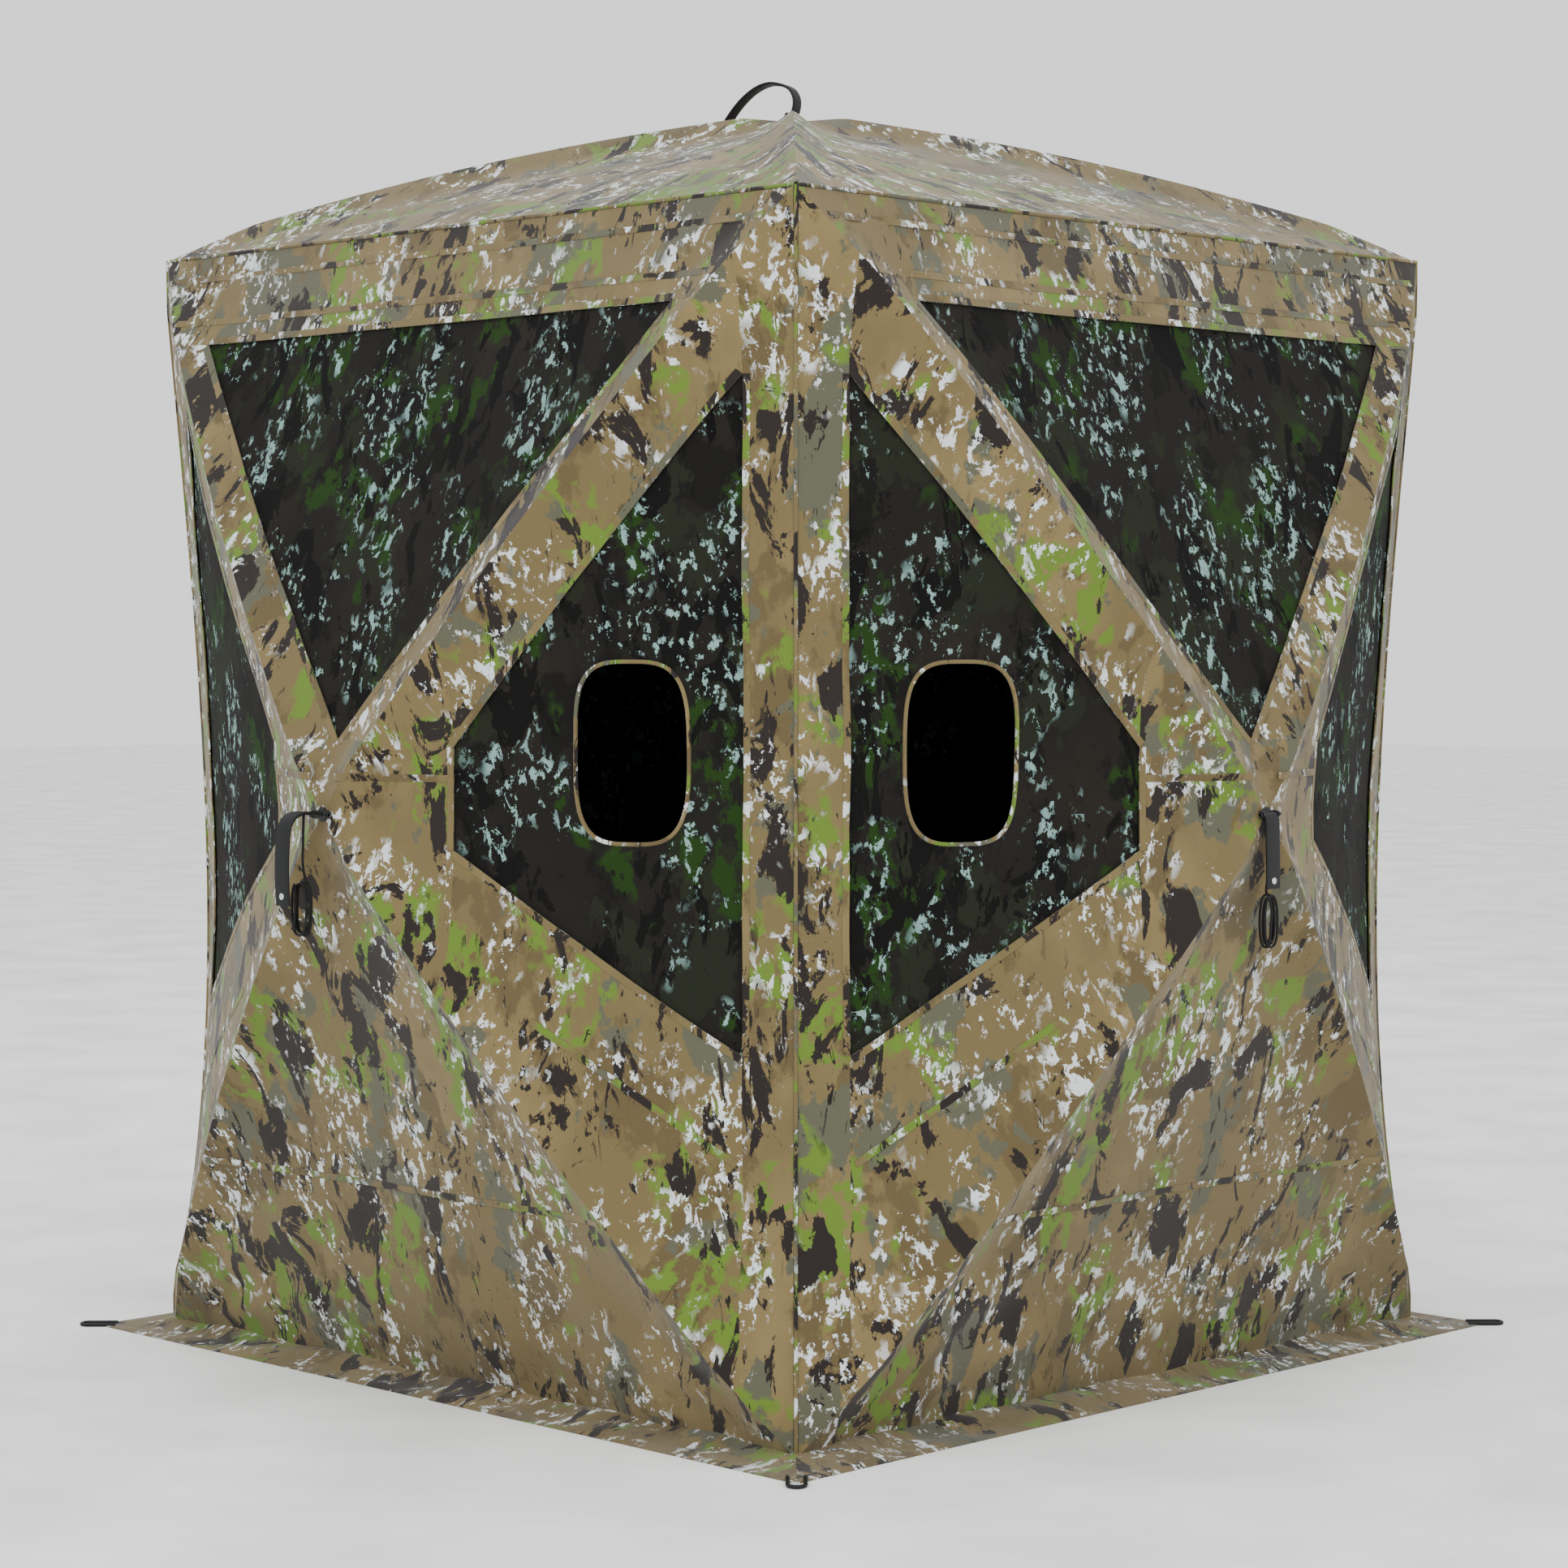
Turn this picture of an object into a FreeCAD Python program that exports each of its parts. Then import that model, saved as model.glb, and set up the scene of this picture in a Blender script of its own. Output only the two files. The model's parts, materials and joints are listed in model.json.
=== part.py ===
"""Pop-up hub blind: a square fabric shelter held open by five sprung hubs.

Frame: +Z up, origin on the ground at the middle of the square. The walls face -Y (front), +X (right), +Y (back) and -X (left).
Each wall and the roof is one face: a hub in the middle, four poles from the hub to the face's corners, and four panels
between the poles. Every panel turns about its own outer edge when its hub is pushed in.
"""
import FreeCAD, Part
import math
import os

V = FreeCAD.Vector

# ---- driving dimensions, in millimetres ----
SIDE = 1490.0             # from corner to corner of the square
WALL_HEIGHT = 1800.0      # from the base seam to the eave seam
BASE_Z = 6.0              # height of the base seam over the ground
WALL_RISE = 257.0         # how far a wall hub stands outside its wall's flat plane
ROOF_RISE = 235.0         # how far the roof hub stands above the eave

PANEL_T = 1.5             # shell cloth and window mesh
EDGE_GAP = 6.0            # from a panel to its edge seam
POLE_GAP = 3.0            # from a panel to the flat diagonal, so that panels pass each other
TIP_GAP = 24.0            # from a panel's tip to the middle of the flat face
CORNER_CUT = 27.0         # cut off each panel's sharp corners

TOP_WINDOW_DROP = 160.0   # from the eave seam to the upper window
TOP_WINDOW_HALF = 555.0   # half of the upper window's top side
TOP_WINDOW_TIP = 820.0    # from the eave seam to the upper window's lowest point
SIDE_WINDOW_INSET = 82.0  # from the corner seam to a side window
SIDE_WINDOW_END = 558.0   # from the corner seam to the side window's far end
SIDE_WINDOW_TOP = 638.0   # heights over the hub: top and bottom corner, then the far end's
SIDE_WINDOW_BOTTOM = -335.0
SIDE_WINDOW_END_TOP = 104.0
SIDE_WINDOW_END_BOTTOM = -49.0

PORT_W = 182.0            # shooting port, an upright oval
PORT_H = 263.0
PORT_R = 78.0             # its corner radius
PORT_INSET = 262.0        # from the corner seam to its middle
PORT_OVER_HUB = 98.0      # its middle over the hub's height

POLE_R = 5.5              # glass fibre rod
POLE_DEPTH = 24.0         # rod axis behind the fold line of the cloth
POLE_SETBACK = 70.0       # from the pole's tip to the corner, when the hub is out
PIVOT_RADIUS = 38.0       # from the hub's middle to a pole's trunnion
TRUNNION_R = 3.0
RUNNING_GAP = 0.05        # radial, trunnion in its ear
FERRULE_W = 12.0
FERRULE_H = 14.0
FERRULE_BACK = 8.0        # behind the trunnion
FERRULE_LENGTH = 30.0     # in front of the trunnion
JOIN_R = 6.8              # metal sleeve that joins a pole's two lengths
JOIN_LENGTH = 70.0
TIP_R = 7.0
TIP_LENGTH = 18.0

HUB_R = 50.0
HUB_PLATE_T = 6.0
HUB_PLATE_DEPTH = 12.0    # from the trunnions' plane to the plate
EAR_T = 5.0
EAR_SIDE_GAP = 0.5        # each side of the ferrule
EAR_LENGTH = 20.0
EAR_OVER = 8.0            # ear beyond the trunnion's axis
BOSS_R = 11.0
BOSS_OVER = 3.0           # boss beyond the cloth
STRAP_SEAT_W = 12.0       # seat on the boss, between the strap bar's lugs
STRAP_SEAT_T = 3.0
LUG_T = 3.0
LUG_WALL = 2.0            # lug round the strap bar's hole

PIPING_R = 3.0
CORNER_BALL_R = 4.4       # clears the skirt under the base seam
BOOT_NEAR = 23.0          # boot block, from the wall planes to its near faces
BOOT_FAR = 60.0
BOOT_SLOT = 20.0          # slot that a pole's tip lies in
BOOT_SLOT_DEPTH = 38.0    # from the wall plane to the slot's floor
BOOT_STOP = 38.0          # from the corner to the slot's end, along the pole
GUSSET_T = 4.0
GUSSET_REACH = 25.0

SKIRT_W = 91.5            # width of the ground flap
SKIRT_T = 1.5
SKIRT_LAP = 6.0           # skirt inside the base seam
LOOP_W = 34.0             # webbing stake loop at each skirt corner
LOOP_OUT = 34.0
LOOP_T = 3.0
STAKE_R = 6.0

DOOR_TAPE_W = 12.0
DOOR_TAPE_T = 2.0
DOOR_TAPE_GAP = 1.5       # behind the door's cloth
SLIDER_L = 16.0
SLIDER_W = 10.0
SLIDER_T = 5.0
SLIDER_GAP = 1.0
SLIDER_START = 70.0       # from the door's tip corner to a closed slider, along the zip
PULL_L = 34.0
PULL_W = 7.0
PULL_T = 2.0

STRAP_W = 32.0
STRAP_T = 5.0
STRAP_SIDE_GAP = 1.0      # strap to each lug
STRAP_BAR_R = 2.5         # bar that the strap is sewn round
STRAP_BAR_GAP = 0.4       # bar to its seat
STRAP_BAR_OVER = 5.0      # bar beyond each lug
ROOF_STRAP_AWAY = (-0.96, -0.28)
RIVET_R = 4.5
RIVET_T = 1.6
CORD_R = 2.0
HANK_W = 40.0
HANK_D = 18.0
HANK_L = 96.0

# ---- derived sizes ----
HALF = SIDE / 2
HALF_UP = WALL_HEIGHT / 2
HUB_Z = BASE_Z + HALF_UP
EAVE_Z = BASE_Z + WALL_HEIGHT
BAR_N = BOSS_OVER + STRAP_SEAT_T + STRAP_BAR_GAP + STRAP_BAR_R
LUG_X = STRAP_W / 2 + STRAP_SIDE_GAP


class Frame:
    """A right-handed set of axes: x, y and z directions at an origin."""

    def __init__(self, origin, x, y, z):
        self.origin, self.x, self.y, self.z = origin, x, y, z

    def at(self, x, y, z):
        return self.origin + self.x * x + self.y * y + self.z * z

    def place(self, shape):
        x, y, z, o = self.x, self.y, self.z, self.origin
        matrix = FreeCAD.Matrix(x.x, y.x, z.x, o.x, x.y, y.y, z.y, o.y, x.z, y.z, z.z, o.z, 0, 0, 0, 1)
        placed = shape.copy()
        placed.Placement = FreeCAD.Placement(matrix).multiply(shape.Placement)
        return placed


class Face:
    """One wall or the roof, with x across, y up (or back, on the roof) and z outward."""

    def __init__(self, name, frame, half_y, rise):
        self.name, self.frame, self.half_y, self.rise = name, frame, half_y, rise
        self.hub = Frame(frame.at(0, 0, rise), frame.x, frame.y, frame.z)


def faces():
    up = V(0, 0, 1)
    walls = []
    for name, out in (("front", V(0, -1, 0)), ("right", V(1, 0, 0)), ("back", V(0, 1, 0)), ("left", V(-1, 0, 0))):
        frame = Frame(out * HALF + V(0, 0, HUB_Z), up.cross(out), up, out)
        walls.append(Face(name, frame, HALF_UP, WALL_RISE))
    roof = Face("roof", Frame(V(0, 0, EAVE_Z), V(1, 0, 0), V(0, 1, 0), up), HALF, ROOF_RISE)
    return walls + [roof]


def save(node, *solids):
    """Writes one node, after a check that each of its solids is closed and valid."""
    for solid in solids:
        if not solid.isValid() or solid.Volume <= 0:
            raise ValueError(f"{node} holds a solid that isn't valid")
    shape = solids[0] if len(solids) == 1 else Part.makeCompound(list(solids))
    shape.exportStep(f"parts/{node}.step")


def plate(points, low, high):
    """A flat plate over an outline in the local x, y plane."""
    corners = [V(x, y, low) for x, y in points]
    outline = Part.makePolygon(corners + corners[:1])
    return Part.Face(outline).extrude(V(0, 0, high - low))


def box(x, y, z):
    """A box from its three (low, high) pairs."""
    return Part.makeBox(x[1] - x[0], y[1] - y[0], z[1] - z[0], V(x[0], y[0], z[0]))


def rounded_plate(width, height, radius, centre, low, high):
    """A rectangle with round corners, as a plate."""
    x, y = width / 2 - radius, height / 2 - radius
    core = box((-width / 2, width / 2), (-y, y), (low, high))
    core = core.fuse(box((-x, x), (-height / 2, height / 2), (low, high)))
    for sx in (-1, 1):
        for sy in (-1, 1):
            core = core.fuse(Part.makeCylinder(radius, high - low, V(sx * x, sy * y, low)))
    core.translate(V(centre[0], centre[1], 0))
    return core.removeSplitter()


# ---- panels ----
class Panel:
    """One panel of a face. Its frame has x along the outer edge, y up the panel towards the hub, z outward.

    The panel is a quarter of the flat face, so that it clears its neighbours as the hub passes through flat.
    """

    def __init__(self, face, side):
        self.face, self.side = face, side
        frame = face.frame
        inward = {"upper": V(0, -1), "lower": V(0, 1), "east": V(-1, 0), "west": V(1, 0)}[side]
        across = side in ("east", "west")
        self.flat_height = HALF if across else face.half_y
        self.half_edge = face.half_y if across else HALF
        flat = frame.x * inward.x + frame.y * inward.y
        self.tilt = math.atan2(face.rise, self.flat_height)
        rise = flat * math.cos(self.tilt) + frame.z * math.sin(self.tilt)
        out = frame.z * math.cos(self.tilt) - flat * math.sin(self.tilt)
        middle = frame.origin - flat * self.flat_height
        self.frame = Frame(middle, rise.cross(out), rise, out)
        self.name = f"{face.name}_{side}_panel"

    def half_width(self, height):
        """Half of the panel's width at a height above its outer edge."""
        return self.half_edge * (1 - height / self.flat_height) - POLE_GAP

    def strip(self, low, high):
        """The outline between two heights, with the sharp corners cut off."""
        widest = self.half_edge - CORNER_CUT
        cut = self.flat_height * (1 - (widest + POLE_GAP) / self.half_edge)
        side = [(min(self.half_width(low), widest), low)]
        if low < cut < high:
            side.append((widest, cut))
        side.append((self.half_width(high), high))
        return side + [(-x, y) for x, y in reversed(side)]

    @property
    def top(self):
        return self.flat_height - TIP_GAP

    def cloth(self, outline):
        return plate(outline, -PANEL_T, 0)


def blank_panel(panel):
    return [panel.frame.place(panel.cloth(panel.strip(EDGE_GAP, panel.top)))]


def window_panel(panel, near, far, near_span, far_span, port=None):
    """The strips sewn round a window, and the window's mesh.

    near and far are the window's two heights above the edge, and the spans are its x range at each.
    """
    low_x, high_x = near_span
    end_low, end_high = far_span
    wide, narrow = panel.half_width(near), panel.half_width(far)
    far_end = [(end_high, far)] if end_low == end_high else [(end_high, far), (end_low, far)]
    solids = [
        panel.cloth(panel.strip(EDGE_GAP, near)),
        panel.cloth([(high_x, near), (wide, near), (narrow, far), (end_high, far)]),
        panel.cloth([(-wide, near), (low_x, near), (end_low, far), (-narrow, far)]),
        panel.cloth(panel.strip(far, panel.top)),
    ]
    mesh = panel.cloth([(low_x, near), (high_x, near)] + far_end)
    if port is not None:
        mesh = mesh.cut(rounded_plate(PORT_H, PORT_W, PORT_R, port, -2 * PANEL_T, PANEL_T))
    return [panel.frame.place(solid) for solid in solids + [mesh]]


def top_window_panel(panel):
    span = (-TOP_WINDOW_HALF, TOP_WINDOW_HALF)
    return window_panel(panel, TOP_WINDOW_DROP, TOP_WINDOW_TIP, span, (0, 0))


def side_window_panel(panel, has_port):
    """A side panel, whose frame's x runs up on the east side and down on the west side."""
    up = panel.frame.x.dot(panel.face.frame.y)
    near = sorted((up * SIDE_WINDOW_BOTTOM, up * SIDE_WINDOW_TOP))
    far = sorted((up * SIDE_WINDOW_END_BOTTOM, up * SIDE_WINDOW_END_TOP))
    port = (up * PORT_OVER_HUB, PORT_INSET) if has_port else None
    return window_panel(panel, SIDE_WINDOW_INSET, SIDE_WINDOW_END, near, far, port)


PORTED = ("front_east_panel", "right_west_panel")
DOOR = "left_west_panel"


def make_panels(all_faces):
    for face in all_faces:
        for side in ("upper", "lower", "east", "west"):
            panel = Panel(face, side)
            if face.name == "roof" or side == "lower":
                solids = blank_panel(panel)
            elif side == "upper":
                solids = top_window_panel(panel)
            else:
                solids = side_window_panel(panel, panel.name in PORTED)
            if panel.name == DOOR:
                save("door_panel", *solids)
                make_door_zip(panel)
            else:
                save(panel.name, *solids)


def door_edge(panel, end):
    """The frame of a door's slanted edge: x from the tip to the corner, y into the door, z outward."""
    tip = panel.frame.at(end * panel.half_width(panel.top), panel.top, 0)
    low = EDGE_GAP + CORNER_CUT
    corner = panel.frame.at(end * panel.half_width(low), low, 0)
    along = (corner - tip).normalize()
    out = panel.frame.z
    into = out.cross(along) if end < 0 else along.cross(out)
    return Frame(tip, along, into, out), (corner - tip).Length


def make_door_zip(panel):
    """The zip's tape behind the door's two slanted edges, and the two sliders on the door."""
    tapes = []
    for end, name in ((1, "upper"), (-1, "lower")):
        end *= round(panel.frame.x.dot(panel.face.frame.y))
        edge, length = door_edge(panel, end)
        high = -PANEL_T - DOOR_TAPE_GAP
        corners = [(0, 2), (length, 2), (length, 2 + DOOR_TAPE_W), (0, 2 + DOOR_TAPE_W)]
        tapes.append(edge_plate(edge, corners, high - DOOR_TAPE_T, high))
        save(f"zip_slider_{name}", *zip_slider(edge))
    save("door_zip_tape", *tapes)


def edge_plate(edge, corners, low, high):
    """A plate on a door edge, whose frame may be left-handed."""
    points = [edge.at(x, y, low) for x, y in corners]
    return Part.Face(Part.makePolygon(points + points[:1])).extrude(edge.z * (high - low))


def zip_slider(edge):
    """A slider's body on the cloth's outer side, and its pull tab."""
    def bar(x, y, low, high):
        return edge_plate(edge, [(x[0], y[0]), (x[1], y[0]), (x[1], y[1]), (x[0], y[1])], low, high)

    start, middle = SLIDER_START, 2 + SLIDER_W / 2
    body = bar((start, start + SLIDER_L), (2, 2 + SLIDER_W), SLIDER_GAP, SLIDER_GAP + SLIDER_T)
    pull = bar((start + SLIDER_L, start + SLIDER_L + PULL_L), (middle - PULL_W / 2, middle + PULL_W / 2),
               SLIDER_GAP + SLIDER_T - PULL_T, SLIDER_GAP + SLIDER_T)
    return body, pull


# ---- hubs and poles ----
def spokes(face):
    """For each pole of a face: its name, its direction in the face's plane, its hinge axis, and the corner's distance."""
    corner = math.hypot(HALF, face.half_y)
    found = []
    for sx, sy, name in ((1, 1, "upper_east"), (-1, 1, "upper_west"), (-1, -1, "lower_west"), (1, -1, "lower_east")):
        along = (face.frame.x * (sx * HALF) + face.frame.y * (sy * face.half_y)) * (1 / corner)
        found.append((f"{face.name}_{name}_pole", along, along.cross(face.frame.z), corner))
    return found


def strap_frame(face):
    """Where a face's strap hangs: x along its bar, y up, z the way it leaves the hub."""
    if face.name != "roof":
        return face.hub
    up, away = V(0, 0, 1), V(*ROOF_STRAP_AWAY, 0)
    away.normalize()
    return Frame(face.hub.origin, up.cross(away), up, away)


def strap_seat(face):
    """The seat on the boss, with two lugs that hold the strap's bar."""
    across = strap_frame(face).x
    out = face.frame.z
    frame = Frame(face.hub.origin, across, out.cross(across), out)
    reach, low = LUG_X + LUG_T, BOSS_OVER
    half = STRAP_SEAT_W / 2
    seat = box((-reach, reach), (-half, half), (low, low + STRAP_SEAT_T))
    for start in (-reach, LUG_X):
        lug = box((start, start + LUG_T), (-STRAP_BAR_R - LUG_WALL, STRAP_BAR_R + LUG_WALL), (low, BAR_N))
        lug = lug.fuse(Part.makeCylinder(STRAP_BAR_R + LUG_WALL, LUG_T, V(start, 0, BAR_N), V(1, 0, 0)))
        lug = lug.cut(Part.makeCylinder(STRAP_BAR_R + RUNNING_GAP, LUG_T, V(start, 0, BAR_N), V(1, 0, 0)))
        seat = seat.fuse(lug)
    return frame.place(seat)


def hub_shape(face):
    """A moulded hub: a plate, four pairs of ears, and a boss that carries the pull strap outside the cloth."""
    floor = -POLE_DEPTH - HUB_PLATE_DEPTH
    hub = Part.makeCylinder(HUB_R, HUB_PLATE_T, V(0, 0, floor - HUB_PLATE_T))
    hub = hub.fuse(Part.makeCylinder(BOSS_R, BOSS_OVER - floor, V(0, 0, floor)))
    hub = face.hub.place(hub).fuse(strap_seat(face))
    inner = FERRULE_W / 2 + EAR_SIDE_GAP
    for _, along, axis, _ in spokes(face):
        spoke = Frame(face.hub.at(0, 0, -POLE_DEPTH) + along * PIVOT_RADIUS, along, axis * -1, face.frame.z)
        for low, high in ((-inner - EAR_T, -inner), (inner, inner + EAR_T)):
            ear = box((-EAR_LENGTH / 2, EAR_LENGTH / 2), (low, high), (-HUB_PLATE_DEPTH - 1, 0))
            ear = ear.fuse(Part.makeCylinder(EAR_LENGTH / 2, EAR_T, V(0, low, 0), V(0, 1, 0)))
            ear = ear.cut(Part.makeCylinder(TRUNNION_R + RUNNING_GAP, EAR_T + 2, V(0, low - 1, 0), V(0, 1, 0)))
            hub = hub.fuse(spoke.place(ear))
    return hub.removeSplitter()


def pole_shapes(face, along, axis, corner):
    """A pole at rest: end ferrule with its trunnion, rod, joining sleeve and rubber tip."""
    reach = corner - POLE_SETBACK - PIVOT_RADIUS
    angle = math.atan2(face.rise, reach)
    length = math.hypot(face.rise, reach)
    pivot = face.hub.at(0, 0, -POLE_DEPTH) + along * PIVOT_RADIUS
    down = along * math.cos(angle) - face.frame.z * math.sin(angle)
    frame = Frame(pivot, down, axis, down.cross(axis))
    width = FERRULE_W / 2 + EAR_SIDE_GAP + EAR_T
    ferrule = box((0, FERRULE_LENGTH), (-FERRULE_W / 2, FERRULE_W / 2), (-FERRULE_H / 2, FERRULE_H / 2))
    ferrule = ferrule.fuse(Part.makeCylinder(FERRULE_BACK - 1, FERRULE_W, V(0, -FERRULE_W / 2, 0), V(0, 1, 0)))
    ferrule = ferrule.fuse(Part.makeCylinder(TRUNNION_R, 2 * width, V(0, -width, 0), V(0, 1, 0)))
    rod_start = FERRULE_LENGTH / 2
    x = V(1, 0, 0)
    rod = Part.makeCylinder(POLE_R, length - TIP_R - rod_start, V(rod_start, 0, 0), x)
    sleeve_at = length / 2 - JOIN_LENGTH / 2
    sleeve = Part.makeCylinder(JOIN_R, JOIN_LENGTH, V(sleeve_at, 0, 0), x).cut(rod)
    tip = Part.makeCylinder(TIP_R, TIP_LENGTH - TIP_R, V(length - TIP_LENGTH, 0, 0), x)
    tip = tip.fuse(Part.makeSphere(TIP_R, V(length - TIP_R, 0, 0))).cut(rod).removeSplitter()
    parts = (ferrule.cut(rod).removeSplitter(), rod, sleeve, tip)
    return [frame.place(part) for part in parts]


def make_hubs_and_poles(all_faces):
    for face in all_faces:
        save(f"{face.name}_hub", hub_shape(face))
        for name, along, axis, corner in spokes(face):
            save(name, *pole_shapes(face, along, axis, corner))


# ---- the parts that stay: edge piping, corner boots and ground skirt ----
def corners():
    for sx in (-1, 1):
        for sy in (-1, 1):
            yield sx, sy


def piping_shapes():
    """Piping along the twelve edges, and a ball at each corner that joins three of them."""
    half = {"x": HALF, "y": HALF, "z": HALF_UP}
    runs = []
    for along, u, v in (("x", "y", "z"), ("y", "z", "x"), ("z", "x", "y")):
        length = half[along] - math.sqrt(CORNER_BALL_R ** 2 - PIPING_R ** 2)
        rod = Part.makeCylinder(PIPING_R, 2 * length, V(0, 0, -length))
        turn = {"x": (V(0, 1, 0), 90), "y": (V(1, 0, 0), -90), "z": (V(0, 0, 1), 0)}[along]
        rod.rotate(V(0, 0, 0), *turn)
        for su, sv in corners():
            place = {along: 0, u: su * half[u], v: sv * half[v]}
            run = rod.copy()
            run.translate(V(place["x"], place["y"], place["z"] + HUB_Z))
            runs.append(run)
    for sx, sy in corners():
        for z in (BASE_Z, EAVE_Z):
            ball = Part.makeSphere(CORNER_BALL_R, V(sx * HALF, sy * HALF, z))
            runs.append(ball.cut(Part.makeCompound(runs[:12])))
    return runs


def boot_slot(inward, up):
    """The slot for one pole, in a boot's own frame with its corner at the origin and the block in +x, +y, +z.

    inward is the pole's direction in the face's plane, and up is the direction behind the face.
    """
    side = up.cross(inward)
    frame = Frame(V(0, 0, 0), inward, side, up)
    return frame.place(box((BOOT_STOP, 4 * BOOT_FAR), (-BOOT_SLOT / 2, BOOT_SLOT / 2), (0, BOOT_SLOT_DEPTH)))


def boot_shape(top):
    """A corner boot, cut for two wall poles and, at the top, a roof pole, with a gusset to the corner's piping."""
    near, far = BOOT_NEAR, BOOT_FAR
    low = near if top else CORNER_BALL_R
    block = box((near, far), (near, far), (low, far))
    reach = math.hypot(HALF, HALF_UP)
    across, rise = HALF / reach, HALF_UP / reach
    block = block.cut(boot_slot(V(across, 0, rise), V(0, 1, 0)))
    block = block.cut(boot_slot(V(0, across, rise), V(1, 0, 0)))
    if top:
        diagonal = math.sqrt(0.5)
        block = block.cut(boot_slot(V(diagonal, diagonal, 0), V(0, 0, 1)))
    gusset = box((0, GUSSET_REACH * math.sqrt(2)), (-GUSSET_T / 2, GUSSET_T / 2), (CORNER_BALL_R, GUSSET_REACH))
    gusset.rotate(V(0, 0, 0), V(0, 0, 1), 45)
    boot = block.fuse(gusset)
    clear = Part.makeCylinder(PIPING_R, 4 * far, V(0, 0, -far))
    return boot.cut(clear).removeSplitter()


def boot_shapes():
    boots = []
    for top in (True, False):
        model = boot_shape(top)
        for sx, sy in corners():
            # a quarter turn and, for the top corners, a mirror put the model's block inside each corner
            boot = model.mirror(V(0, 0, 0), V(0, 0, 1)) if top else model.copy()
            angle = {(-1, -1): 0, (1, -1): 90, (1, 1): 180, (-1, 1): 270}[sx, sy]
            boot.rotate(V(0, 0, 0), V(0, 0, 1), angle)
            boot.translate(V(sx * HALF, sy * HALF, EAVE_Z if top else BASE_Z))
            boots.append(boot)
    return boots


def skirt_shapes():
    """Four mitred flaps on the ground, and a webbing stake loop at each corner."""
    inner, outer = HALF - SKIRT_LAP, HALF + SKIRT_W
    solids = []
    for quarter in range(4):
        flap = plate([(-outer, -outer), (outer, -outer), (inner, -inner), (-inner, -inner)], 0, SKIRT_T)
        flap.rotate(V(0, 0, 0), V(0, 0, 1), 90 * quarter)
        solids.append(flap)
    return solids + [stake_loop(90 * quarter) for quarter in range(4)]


def stake_loop(angle):
    """A webbing tab that stands out from a skirt corner, with a hole for the stake."""
    outer = HALF + SKIRT_W
    start = math.hypot(outer, outer) - LOOP_W / 2
    reach = start + LOOP_W / 2 + LOOP_OUT
    tab = box((start, reach - LOOP_W / 2), (-LOOP_W / 2, LOOP_W / 2), (0, LOOP_T))
    tab = tab.fuse(Part.makeCylinder(LOOP_W / 2, LOOP_T, V(reach - LOOP_W / 2, 0, 0)))
    tab = tab.cut(Part.makeCylinder(STAKE_R, LOOP_T, V(reach - LOOP_W / 2, 0, 0)))
    tab.rotate(V(0, 0, 0), V(0, 0, 1), 45)
    corner = plate([(0, 0), (outer, 0), (outer, outer), (0, outer)], -1, SKIRT_T)
    tab = tab.cut(corner).removeSplitter()
    tab.rotate(V(0, 0, 0), V(0, 0, 1), angle)
    return tab


def make_root():
    save("edge_piping", *piping_shapes())
    save("corner_boots", *boot_shapes())
    save("ground_skirt", *skirt_shapes())


# ---- straps and tie cords ----
def ribbon(frame, path, width, thickness):
    """A strap whose middle line runs through (out, up) points, in a frame with x across, y up and z outward."""
    left, right = [], []
    for i, (n, b) in enumerate(path):
        before, after = path[max(i - 1, 0)], path[min(i + 1, len(path) - 1)]
        dn, db = after[0] - before[0], after[1] - before[1]
        size = math.hypot(dn, db) / (thickness / 2)
        left.append((n - db / size, b + dn / size))
        right.append((n + db / size, b - dn / size))
    outline = [V(-width / 2, b, n) for n, b in left + right[::-1]]
    solid = Part.Face(Part.makePolygon(outline + outline[:1])).extrude(V(width, 0, 0))
    return frame.place(solid)


def strap_bar(frame):
    """The bar in the hub's lugs, which the strap swings on."""
    reach = LUG_X + LUG_T + STRAP_BAR_OVER
    return frame.place(Part.makeCylinder(STRAP_BAR_R, 2 * reach, V(-reach, 0, BAR_N), V(1, 0, 0)))


def riveted(frame, strap, out, up):
    """A strap with a rivet through it, near its end."""
    low = out - STRAP_T / 2 - RIVET_T
    stud = frame.place(Part.makeCylinder(RIVET_R, STRAP_T + 2 * RIVET_T, V(0, up, low)))
    return [strap.cut(stud), stud]


def standing_strap(face):
    """A strap that springs out of the hub and falls in front of it."""
    path = [(BAR_N, 0), (30, 3), (52, 2), (66, -6), (74, -22), (77, -50), (78, -90), (76, -134)]
    strap = ribbon(face.hub, path, STRAP_W, STRAP_T).fuse(strap_bar(face.hub))
    return riveted(face.hub, strap, 76.6, -120)


def hanging_strap(face):
    """A strap that hangs straight down from its bar."""
    path = [(BAR_N, 0), (BAR_N + 4, -10), (BAR_N + 5, -40), (BAR_N + 6, -80), (BAR_N + 6, -112)]
    strap = ribbon(face.hub, path, STRAP_W, STRAP_T).fuse(strap_bar(face.hub))
    return riveted(face.hub, strap, BAR_N + 6, -100)


def roof_strap(face):
    """The roof strap, an arch from the hub to the left-hand roof panel."""
    frame = strap_frame(face)
    path = [(-1, BAR_N), (-7, 20), (-8, 38), (1, 54), (20, 63), (44, 66), (70, 58), (96, 40), (120, 14),
            (138, -14), (146, -32)]
    strap = ribbon(frame, path, STRAP_W - 6, STRAP_T)
    reach = LUG_X + LUG_T + STRAP_BAR_OVER
    bar = Part.makeCylinder(STRAP_BAR_R, 2 * reach, V(-reach, BAR_N, 0), V(1, 0, 0))
    return [strap.fuse(frame.place(bar))]


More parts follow.
